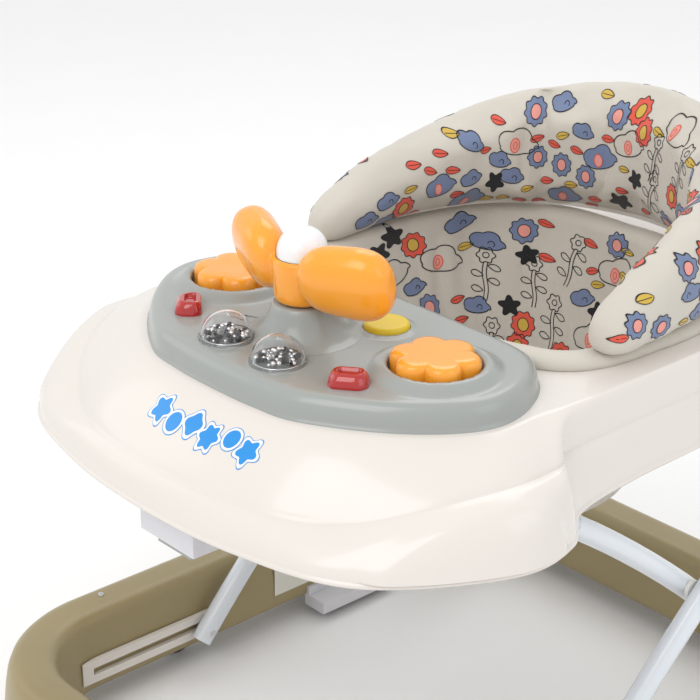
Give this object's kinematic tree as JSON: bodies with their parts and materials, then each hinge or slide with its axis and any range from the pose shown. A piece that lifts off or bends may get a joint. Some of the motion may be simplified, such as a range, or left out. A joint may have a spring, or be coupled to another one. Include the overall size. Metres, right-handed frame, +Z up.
{
  "type": "baby walker",
  "caption": "Baby walker: castor base ring, folding scissor frame, moulded tray with toys, and a fabric seat with a padded back.",
  "frame": {"origin": "On the floor under the middle of the base ring: the bottom centre of the bounding box.", "axes": "+Z up, +Y towards the child's back, so the walker faces -Y; +X towards the child's left."},
  "size_m": [0.616, 0.7, 0.588],
  "materials": {
    "tan_plastic": "moulded, low sheen",
    "white_plastic": "moulded, glossy warm white",
    "tube_paint": "powder-coated cool white",
    "steel": "zinc plated",
    "rubber": "matt",
    "label": "blank paper label",
    "grey_plastic": "moulded, glossy grey",
    "orange_plastic": "moulded, glossy orange",
    "yellow_plastic": "moulded, glossy yellow",
    "red_plastic": "translucent red",
    "clear_plastic": "clear polystyrene",
    "white_dome": "milky translucent",
    "silver_bits": "metallised beads",
    "fabric": "printed coated cotton, greige ground",
    "castor_plastic": "moulded",
    "wheel_plastic": "hard dark plastic",
    "black_plastic": "moulded black",
    "board_green": "solder mask",
    "cell_wrap": "plain cell wrap"
  },
  "bodies": {
    "base": {"base_ring": "tan_plastic", "hinge_blocks": "white_plastic", "slide_rails": "white_plastic", "base_hinge_pins": "steel", "stop_blocks": "white_plastic", "stop_pads": "rubber", "base_label": "label"},
    "front_leg": {"front_leg_tube": "tube_paint", "scissor_rivets": "steel", "rivet_spacers": "castor_plastic"},
    "rear_leg": {"rear_leg_tube": "tube_paint", "slide_pins": "steel"},
    "tray": {"tray_body": "white_plastic", "play_tray": "grey_plastic", "steering_column": "grey_plastic", "steering_spindle": "castor_plastic", "bead_domes": "clear_plastic", "dome_beads": "silver_bits", "lamps": "red_plastic", "button_springs": "steel", "circuit_board": "board_green", "speaker": "black_plastic", "battery_box": "black_plastic", "battery_cells": "cell_wrap", "battery_cover": "white_plastic", "adjuster_housing": "white_plastic", "release_spring": "steel", "rear_saddles": "white_plastic", "rear_saddle_caps": "white_plastic", "seat_sling": "fabric", "seat_clips": "white_plastic", "backrest_pad": "fabric", "backrest_board": "castor_plastic", "tray_screws": "steel"},
    "steering": {"steering_wheel": "orange_plastic"},
    "horn": {"horn_button": "white_dome"},
    "left_flower": {"left_flower_button": "orange_plastic"},
    "right_flower": {"right_flower_button": "orange_plastic"},
    "round_toy": {"round_button": "yellow_plastic"},
    "release": {"release_lever": "grey_plastic"},
    "castor_1": {"castor_fork_1": "castor_plastic", "castor_axle_1": "steel"},
    "wheel_1": {"castor_wheel_1": "wheel_plastic"},
    "castor_2": {"castor_fork_2": "castor_plastic", "castor_axle_2": "steel"},
    "wheel_2": {"castor_wheel_2": "wheel_plastic"},
    "castor_3": {"castor_fork_3": "castor_plastic", "castor_axle_3": "steel"},
    "wheel_3": {"castor_wheel_3": "wheel_plastic"},
    "castor_4": {"castor_fork_4": "castor_plastic", "castor_axle_4": "steel"},
    "wheel_4": {"castor_wheel_4": "wheel_plastic"},
    "castor_5": {"castor_fork_5": "castor_plastic", "castor_axle_5": "steel"},
    "wheel_5": {"castor_wheel_5": "wheel_plastic"},
    "castor_6": {"castor_fork_6": "castor_plastic", "castor_axle_6": "steel"},
    "wheel_6": {"castor_wheel_6": "wheel_plastic"}
  },
  "joints": [
    {"name": "fold", "type": "hinge", "parent": "base", "child": "front_leg", "pos_m": [0, 0.26, 0.044], "axis": [1, 0, 0], "range_deg": [0, 28]},
    {"name": "leg_cross", "type": "hinge", "parent": "front_leg", "child": "rear_leg", "pos_m": [0, 0.081, 0.21995], "axis": [1, 0, 0], "range_deg": [-56, 0]},
    {"name": "tray_hinge", "type": "hinge", "parent": "rear_leg", "child": "tray", "pos_m": [0, 0.25974, 0.3524], "axis": [1, 0, 0], "range_deg": [0, 28]},
    {"name": "steer", "type": "hinge", "parent": "tray", "child": "steering", "pos_m": [0, -0.164, 0.486], "axis": [0, 0, 1], "range_deg": [-60, 60]},
    {"name": "horn_press", "type": "slide", "parent": "steering", "child": "horn", "axis": [0, 0, -1], "range_m": [0, 0.002], "stiffness_N_per_m": 800},
    {"name": "left_flower_press", "type": "slide", "parent": "tray", "child": "left_flower", "axis": [0, 0, -1], "range_m": [0, 0.003], "stiffness_N_per_m": 1000},
    {"name": "right_flower_press", "type": "slide", "parent": "tray", "child": "right_flower", "axis": [0, 0, -1], "range_m": [0, 0.003], "stiffness_N_per_m": 1000},
    {"name": "round_press", "type": "slide", "parent": "tray", "child": "round_toy", "axis": [0, 0, -1], "range_m": [0, 0.003], "stiffness_N_per_m": 600},
    {"name": "release_pull", "type": "slide", "parent": "tray", "child": "release", "axis": [0, 1, 0], "range_m": [0, 0.008], "stiffness_N_per_m": 500},
    {"name": "swivel_1", "type": "hinge", "parent": "base", "child": "castor_1", "pos_m": [0.13, -0.32, 0.06], "axis": [0, 0, 1], "continuous": true},
    {"name": "roll_1", "type": "hinge", "parent": "castor_1", "child": "wheel_1", "pos_m": [0.13, -0.313, 0.016], "axis": [1, 0, 0], "continuous": true},
    {"name": "swivel_2", "type": "hinge", "parent": "base", "child": "castor_2", "pos_m": [-0.13, -0.32, 0.06], "axis": [0, 0, 1], "continuous": true},
    {"name": "roll_2", "type": "hinge", "parent": "castor_2", "child": "wheel_2", "pos_m": [-0.13, -0.313, 0.016], "axis": [1, 0, 0], "continuous": true},
    {"name": "swivel_3", "type": "hinge", "parent": "base", "child": "castor_3", "pos_m": [0.278, -0.11, 0.06], "axis": [0, 0, 1], "continuous": true},
    {"name": "roll_3", "type": "hinge", "parent": "castor_3", "child": "wheel_3", "pos_m": [0.278, -0.103, 0.016], "axis": [1, 0, 0], "continuous": true},
    {"name": "swivel_4", "type": "hinge", "parent": "base", "child": "castor_4", "pos_m": [-0.278, -0.11, 0.06], "axis": [0, 0, 1], "continuous": true},
    {"name": "roll_4", "type": "hinge", "parent": "castor_4", "child": "wheel_4", "pos_m": [-0.278, -0.103, 0.016], "axis": [1, 0, 0], "continuous": true},
    {"name": "swivel_5", "type": "hinge", "parent": "base", "child": "castor_5", "pos_m": [0.18943, 0.31871, 0.06], "axis": [0, 0, 1], "continuous": true},
    {"name": "roll_5", "type": "hinge", "parent": "castor_5", "child": "wheel_5", "pos_m": [0.18943, 0.32571, 0.016], "axis": [1, 0, 0], "continuous": true},
    {"name": "swivel_6", "type": "hinge", "parent": "base", "child": "castor_6", "pos_m": [-0.18943, 0.31871, 0.06], "axis": [0, 0, 1], "continuous": true},
    {"name": "roll_6", "type": "hinge", "parent": "castor_6", "child": "wheel_6", "pos_m": [-0.18943, 0.32571, 0.016], "axis": [1, 0, 0], "continuous": true}
  ],
  "couplings": [
    {"joint": "leg_cross", "follows": "fold", "ratio": -2},
    {"joint": "tray_hinge", "follows": "fold", "ratio": 1}
  ]
}
